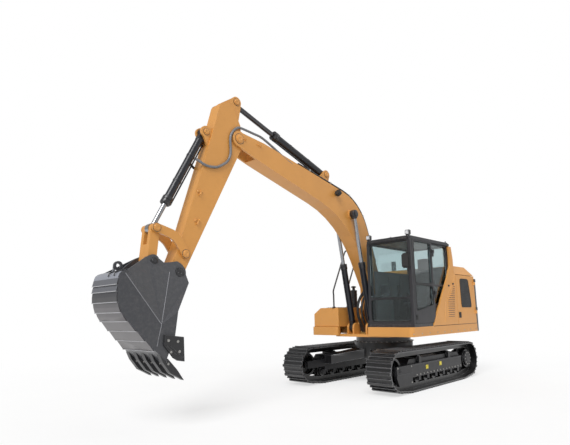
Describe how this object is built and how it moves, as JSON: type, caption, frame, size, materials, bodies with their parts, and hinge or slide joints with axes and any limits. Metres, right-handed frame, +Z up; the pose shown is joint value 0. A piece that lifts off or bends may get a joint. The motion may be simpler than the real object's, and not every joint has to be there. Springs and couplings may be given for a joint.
{
  "type": "tracked excavator",
  "caption": "Tracked hydraulic excavator with enclosed cab, one-piece curved boom, stick and toothed backhoe bucket on a swinging upper structure",
  "frame": {"origin": "on the ground under the middle of the machine's box at rest", "axes": "+X forward along the boom, +Y to the machine's left (cab side), +Z up"},
  "size_m": [8.1754, 2.536, 4.9123],
  "materials": {
    "yellow_paint": "satin ochre yellow enamel",
    "track_steel": "worn near-black paint",
    "grey_casting": "dark grey paint on iron",
    "bare_steel": "dark steel with wear",
    "grey_paint": "dark grey satin paint",
    "glass": "tinted safety glass",
    "black_paint": "black satin paint",
    "chrome_rod": "polished hard chrome",
    "seat_fabric": "dark woven fabric",
    "black_plastic": "matt black plastic",
    "engine_alloy": "plain dull metal"
  },
  "bodies": {
    "undercarriage": {"carbody": "track_steel", "track_frame_left": "track_steel", "track_frame_right": "track_steel", "track_left": "track_steel", "track_right": "track_steel", "front_idlers": "track_steel", "drive_sprockets": "track_steel", "track_rollers": "track_steel", "swing_bearing": "bare_steel"},
    "house": {"revolving_frame": "yellow_paint", "deck_left": "yellow_paint", "deck_right": "yellow_paint", "counterweight": "grey_casting", "engine_block": "engine_alloy", "engine_bulkhead": "yellow_paint", "left_side_panel": "yellow_paint", "right_side_panel": "yellow_paint", "fuel_tank": "yellow_paint", "tool_box": "yellow_paint", "control_valve": "black_paint", "air_cleaner": "black_paint", "handrails": "black_paint", "cab_floor": "grey_paint", "cab_front_frame": "grey_paint", "cab_right_wall": "grey_paint", "cab_rear_wall": "grey_paint", "cab_left_quarter": "grey_paint", "cab_roof": "grey_paint", "windshield": "glass", "cab_windows": "glass", "seat": "seat_fabric", "consoles": "black_plastic", "mirrors": "black_plastic", "work_lamps": "black_plastic"},
    "cab_door": {"cab_door": "grey_paint", "door_glass": "glass"},
    "left_door": {"left_door": "yellow_paint"},
    "right_door": {"right_door": "yellow_paint"},
    "engine_hood": {"engine_hood": "yellow_paint", "exhaust": "black_paint"},
    "boom": {"boom": "yellow_paint", "boom_lines": "black_paint", "boom_lamp": "black_plastic"},
    "boom_barrels": {"boom_barrels": "black_paint"},
    "boom_rods": {"boom_rods": "chrome_rod"},
    "stick": {"stick": "yellow_paint"},
    "stick_barrel": {"stick_barrel": "black_paint"},
    "stick_rod": {"stick_rod": "chrome_rod"},
    "bucket": {"bucket": "bare_steel", "wear_straps": "bare_steel", "bucket_teeth": "bare_steel", "side_cutters": "bare_steel"},
    "bucket_barrel": {"bucket_barrel": "black_paint"},
    "bucket_rod": {"bucket_rod": "chrome_rod"},
    "idler_links": {"idler_links": "yellow_paint"},
    "power_link": {"power_link": "yellow_paint"}
  },
  "joints": [
    {"name": "swing", "type": "hinge", "parent": "undercarriage", "child": "house", "pos_m": [-1.768, 0, 0.9], "axis": [0, 0, 1], "continuous": true},
    {"name": "cab_door_hinge", "type": "hinge", "parent": "house", "child": "cab_door", "pos_m": [-1.758, 1.255, 1.9], "axis": [0, 0, 1], "range_deg": [0, 165]},
    {"name": "left_door_hinge", "type": "hinge", "parent": "house", "child": "left_door", "pos_m": [-3.642, 1.255, 1.6], "axis": [0, 0, 1], "range_deg": [0, 100]},
    {"name": "right_door_hinge", "type": "hinge", "parent": "house", "child": "right_door", "pos_m": [-3.642, -1.255, 1.6], "axis": [0, 0, -1], "range_deg": [0, 100]},
    {"name": "hood_hinge", "type": "hinge", "parent": "house", "child": "engine_hood", "pos_m": [-2.673, 0, 2.1593], "axis": [0, 1, 0], "range_deg": [0, 50]},
    {"name": "boom_foot", "type": "hinge", "parent": "house", "child": "boom", "pos_m": [-1.748, -0.14, 1.62], "axis": [0, 1, 0], "range_deg": [-19.5, 68.5]},
    {"name": "boom_barrel_foot", "type": "hinge", "parent": "house", "child": "boom_barrels", "pos_m": [-1.238, -0.14, 1.08], "axis": [0, 1, 0], "range_deg": [-18.35, 63.97]},
    {"name": "boom_rod_slide", "type": "slide", "parent": "boom_barrels", "child": "boom_rods", "axis": [0.1981, 0, 0.9802], "range_m": [-0.8328, 0.2385]},
    {"name": "boom_nose", "type": "hinge", "parent": "boom", "child": "stick", "pos_m": [2.10455, -0.14, 4.16995], "axis": [0, -1, 0], "range_deg": [-51, 67]},
    {"name": "stick_barrel_foot", "type": "hinge", "parent": "boom", "child": "stick_barrel", "pos_m": [-0.12564, -0.14, 4.06062], "axis": [0, -1, 0], "range_deg": [-1.23, 1.56]},
    {"name": "stick_rod_slide", "type": "slide", "parent": "stick_barrel", "child": "stick_rod", "axis": [0.9476, 0, 0.3194], "range_m": [-0.6836, 0.5209]},
    {"name": "stick_tip", "type": "hinge", "parent": "stick", "child": "bucket", "pos_m": [3.16677, -0.14, 1.96774], "axis": [0, -1, 0], "range_deg": [-110, 40]},
    {"name": "bucket_barrel_foot", "type": "hinge", "parent": "stick", "child": "bucket_barrel", "pos_m": [2.69371, -0.14, 4.1433], "axis": [0, -1, 0], "range_deg": [-5.39, 2.09]},
    {"name": "bucket_rod_slide", "type": "slide", "parent": "bucket_barrel", "child": "bucket_rod", "axis": [0.4514, 0, -0.8923], "range_m": [-0.2486, 0.6802]},
    {"name": "idler_pivot", "type": "hinge", "parent": "stick", "child": "idler_links", "pos_m": [3.0441, -0.14, 2.23839], "axis": [0, -1, 0], "range_deg": [-77.45, 28.29]},
    {"name": "power_link_pivot", "type": "hinge", "parent": "idler_links", "child": "power_link", "pos_m": [3.49654, -0.14, 2.55636], "axis": [0, -1, 0], "range_deg": [-13.14, 35.78]}
  ],
  "couplings": [
    {"joint": "boom_barrel_foot", "follows": "boom_foot", "ratio": 0.931},
    {"joint": "boom_rod_slide", "follows": "boom_foot", "m_per_rad": -0.69488},
    {"joint": "stick_barrel_foot", "follows": "boom_nose", "ratio": 0.020237},
    {"joint": "stick_rod_slide", "follows": "boom_nose", "m_per_rad": -0.58291},
    {"joint": "bucket_barrel_foot", "follows": "stick_tip", "ratio": 0.047222},
    {"joint": "bucket_rod_slide", "follows": "stick_tip", "m_per_rad": -0.35325},
    {"joint": "idler_pivot", "follows": "stick_tip", "ratio": 0.70232},
    {"joint": "power_link_pivot", "follows": "stick_tip", "ratio": -0.32344}
  ]
}
